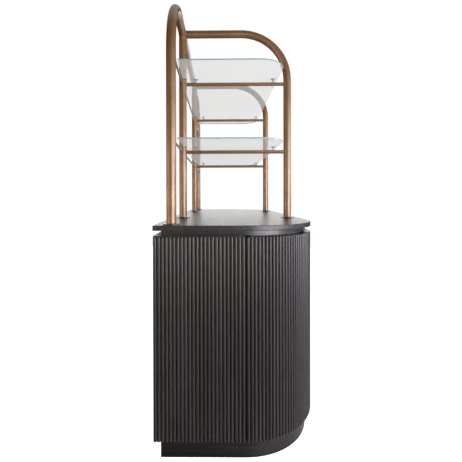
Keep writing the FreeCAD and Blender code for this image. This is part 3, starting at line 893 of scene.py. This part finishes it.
class CABINET_OT_hardware(bpy.types.Operator):
    """Hinge leaves, bushes, catches, bolts and shelf pins"""

    bl_idname = "cabinet.hardware"
    bl_label = "Hardware"

    def execute(self, context):
        dress(blackened_steel(), "hinge_leaves", *(f"{door}_bushes" for door in DOORS))
        dress(plated_steel(), "post_bolts", "shelf_pins", *(f"{door}_strike" for door in DOORS))
        dress(moulded_plastic(), "catch_magnets")
        sizes = context.scene.cabinet_sizes
        self.back_screws(sizes)
        self.strike_screws(sizes)
        self.hinge_screws(sizes)
        return {"FINISHED"}

    def back_screws(self, sizes):
        """Screws through the back panel, into the edges of the carcass boards behind it."""
        low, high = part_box("back_panel")
        rows = [middle_of(board).z for board in ("bottom_panel", "top_panel")]
        edge = rows[0] - low.z
        spots = []
        for z in rows:
            for x in spread(low.x + edge, high.x - edge, sizes.back_screws):
                spots.append((x, high.y, z))
        for side in SIDES:
            for z in spread(*rows, sizes.partition_screws + 2)[1:-1]:
                spots.append((middle_of(f"{side}_partition").x, high.y, z))
        self.add_screws("back_screws", sizes, [(Vector(spot), BACK) for spot in spots],
                        "cabinet", blackened_steel())

    def strike_screws(self, sizes):
        """One screw in the middle of each door's strike plate, on its inner face."""
        for door in DOORS:
            strike = middle_of(f"{door}_strike")
            inward = BACK
            if "corner" in door:
                bend = Vector((copysign(BEND_X, strike.x), BEND_Y, strike.z))
                inward = (bend - strike).normalized()
            face = strike + inward * (STRIKE_THICKNESS / 2 - sizes.screw_sink)
            self.add_screws(f"{door}_strike_screw", sizes, [(face, inward)], door, plated_steel())

    def hinge_screws(self, sizes):
        """One screw in the underside of each lower hinge leaf, near the end that points inwards."""
        places = []
        for joint in frame["record"]["behaviour"]["joints"]:
            spot = Vector(joint["pos_m"])
            spot.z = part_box("hinge_leaves")[0].z
            inward = -copysign(1, spot.x) * ALONG if "corner" in joint["name"] else BACK
            places.append((spot + inward * (sizes.leaf_length - sizes.leaf_margin), -UP))
        self.add_screws("hinge_screws", sizes, places, "cabinet", plated_steel())

    def add_screws(self, name, sizes, places, body, finish):
        """Countersunk heads with a cross recess, each flush with the face at a point."""
        bm = bmesh.new()
        bmesh.ops.create_cone(bm, cap_ends=True, segments=SCREW_STEPS, radius1=sizes.screw_shank,
                              radius2=sizes.screw_head, depth=sizes.screw_depth,
                              matrix=Matrix.Translation(-sizes.screw_depth / 2 * UP)
                              @ Matrix.Rotation(pi / SCREW_STEPS, 4, "Z"))
        crown = [max(bm.faces, key=lambda face: face.normal.z)]
        land = sizes.screw_head / 4
        taper = sizes.recess_width / 4
        bmesh.ops.inset_region(bm, faces=crown, thickness=land, depth=sizes.screw_dome)
        bmesh.ops.inset_region(bm, faces=crown, thickness=land)
        # Points near X or Y become the ends of the cross, the others its inner corners
        for vert in crown[0].verts:
            x, y = abs(vert.co.x), abs(vert.co.y)
            vert.co.x = copysign(sizes.recess_reach if x > 2 * y else sizes.recess_width, vert.co.x)
            vert.co.y = copysign(sizes.recess_reach if y > 2 * x else sizes.recess_width, vert.co.y)
        bmesh.ops.inset_region(bm, faces=crown, thickness=taper, depth=-sizes.recess_depth)
        head = bm.verts[:] + bm.edges[:] + bm.faces[:]
        for point, out in places:
            copy = verts_of(bmesh.ops.duplicate(bm, geom=head)["geom"])
            bmesh.ops.transform(bm, verts=copy, matrix=Matrix.Translation(point)
                                @ out.to_track_quat("Z", "Y").to_matrix().to_4x4())
        bmesh.ops.delete(bm, geom=verts_of(head), context="VERTS")
        add_piece(name, bm, body, [finish], [])


class CABINET_OT_studio(bpy.types.Operator):
    """Pale floor, soft light and the camera"""

    bl_idname = "cabinet.studio"
    bl_label = "Studio"

    def execute(self, context):
        studio = context.scene.cabinet_studio
        self.add_floor(studio)
        self.add_room(studio)
        for name, panel in PANELS.items():
            light = self.add_panel(name, getattr(studio, name), *panel)
            if name == "back":
                light.light_linking.receiver_collection = self.base_pieces()
        self.add_camera(studio)
        context.scene.view_settings.view_transform = "Standard"
        return {"FINISHED"}

    def add_floor(self, studio):
        bm = bmesh.new()
        bmesh.ops.create_circle(bm, cap_ends=True, segments=FLOOR_STEPS, radius=studio.floor_radius)
        mesh = bpy.data.meshes.new("studio_floor")
        bm.to_mesh(mesh)
        bm.free()
        mesh.materials.append(studio_paint())
        ground = bpy.data.objects.new("studio_floor", mesh)
        ground.location.z = CAD_BOX[0].z
        ground.visible_diffuse = ground.visible_glossy = False
        bpy.context.scene.collection.objects.link(ground)

    def add_room(self, studio):
        """A white background that lights the cabinet only softly, most from the floor in front."""
        room = Finish(bpy.data.worlds.new("studio_room"), "ShaderNodeOutputWorld")
        seen = room.node("ShaderNodeLightPath", output="Is Camera Ray")
        heading = room.node("ShaderNodeTexCoord", output="Generated")
        across = room.node("ShaderNodeSeparateXYZ", sockets={"Vector": heading}, output="Y")
        level = room.node("ShaderNodeSeparateXYZ", sockets={"Vector": heading}, output="Z")
        below = room.step(level, low=0.0, high=-0.4) * room.step(across, low=0.1, high=-0.5)
        bpy.context.scene.world = room.surface(room.node("ShaderNodeBackground", sockets={
            "Color": room.mix(below, (*WHITE, 1.0), (*ROSE, 1.0)),
            "Strength": studio.fill + studio.bounce * below + studio.backdrop * seen}))

    def base_pieces(self):
        """The pieces of the base that show from behind."""
        pieces = bpy.data.collections.new("base_from_behind")
        for name in ("back_panel", "neck_board", "left_end_panel", "right_end_panel"):
            pieces.objects.link(frame["nodes"][name])
        for name in ("back_screws", "plinth_skirt", "eased_top_slab"):
            pieces.objects.link(bpy.data.objects[name])
        return pieces

    def add_panel(self, name, power, spot, width, height, tint):
        """A soft panel that faces the top of the base."""
        lamp = bpy.data.lights.new(f"{name}_panel", "AREA")
        lamp.energy = power
        lamp.color = tint
        lamp.shape = "RECTANGLE"
        lamp.size, lamp.size_y = width, height
        light = bpy.data.objects.new(lamp.name, lamp)
        light.location = spot
        light.rotation_euler = (Vector(spot) - SLAB_HIGH.z * UP).to_track_quat("Z", "Y").to_euler()
        light.visible_camera = False
        bpy.context.scene.collection.objects.link(light)
        return light

    def add_camera(self, studio):
        camera = bpy.data.cameras.new("studio_camera")
        camera.lens = studio.lens
        camera.shift_x, camera.shift_y = studio.shift
        holder = bpy.data.objects.new("studio_camera", camera)
        flat = Vector((cos(studio.yaw), sin(studio.yaw), 0))
        ahead = flat * cos(studio.pitch) - UP * sin(studio.pitch)
        level = flat.cross(UP)
        rise = level.cross(ahead)
        right = level * cos(studio.roll) + rise * sin(studio.roll)
        axes = Matrix((right, right.cross(ahead), -ahead)).transposed()
        holder.matrix_world = Matrix.Translation(studio.eye) @ axes.to_4x4()
        bpy.context.scene.collection.objects.link(holder)
        bpy.context.scene.camera = holder


class CABINET_PT_sidebar(bpy.types.Panel):
    """Lists the sizes, the finishes and the steps of the cabinet"""

    bl_label = "Reeded Bar Cabinet"
    bl_space_type = "VIEW_3D"
    bl_region_type = "UI"
    bl_category = "Cabinet"

    def draw(self, context):
        for title, group in [("Sizes", context.scene.cabinet_sizes),
                             ("Finishes", context.scene.cabinet_finishes),
                             ("Studio", context.scene.cabinet_studio)]:
            column = self.layout.column(align=True)
            column.label(text=title)
            for name in group.__annotations__:
                column.prop(group, name)
        for operator in OPERATORS:
            self.layout.operator(operator.bl_idname)


GROUPS = {
    "cabinet_sizes": CabinetSizes,
    "cabinet_finishes": CabinetFinishes,
    "cabinet_studio": CabinetStudio,
}
OPERATORS = (
    CABINET_OT_reeded_faces,
    CABINET_OT_top_slab,
    CABINET_OT_plinth,
    CABINET_OT_carcass,
    CABINET_OT_tube_rack,
    CABINET_OT_glass_shelves,
    CABINET_OT_hardware,
    CABINET_OT_studio,
)
CLASSES = (*GROUPS.values(), *OPERATORS, CABINET_PT_sidebar)


def register():
    for item in CLASSES:
        bpy.utils.register_class(item)
    for name, group in GROUPS.items():
        setattr(bpy.types.Scene, name, PointerProperty(type=group))


def unregister():
    for name in GROUPS:
        delattr(bpy.types.Scene, name)
    for item in reversed(CLASSES):
        bpy.utils.unregister_class(item)


def main():
    register()
    bpy.ops.cabinet.reeded_faces()
    bpy.ops.cabinet.top_slab()
    bpy.ops.cabinet.plinth()
    bpy.ops.cabinet.carcass()
    bpy.ops.cabinet.tube_rack()
    bpy.ops.cabinet.glass_shelves()
    bpy.ops.cabinet.hardware()
    bpy.ops.cabinet.studio()


if __name__ == "__main__":
    main()
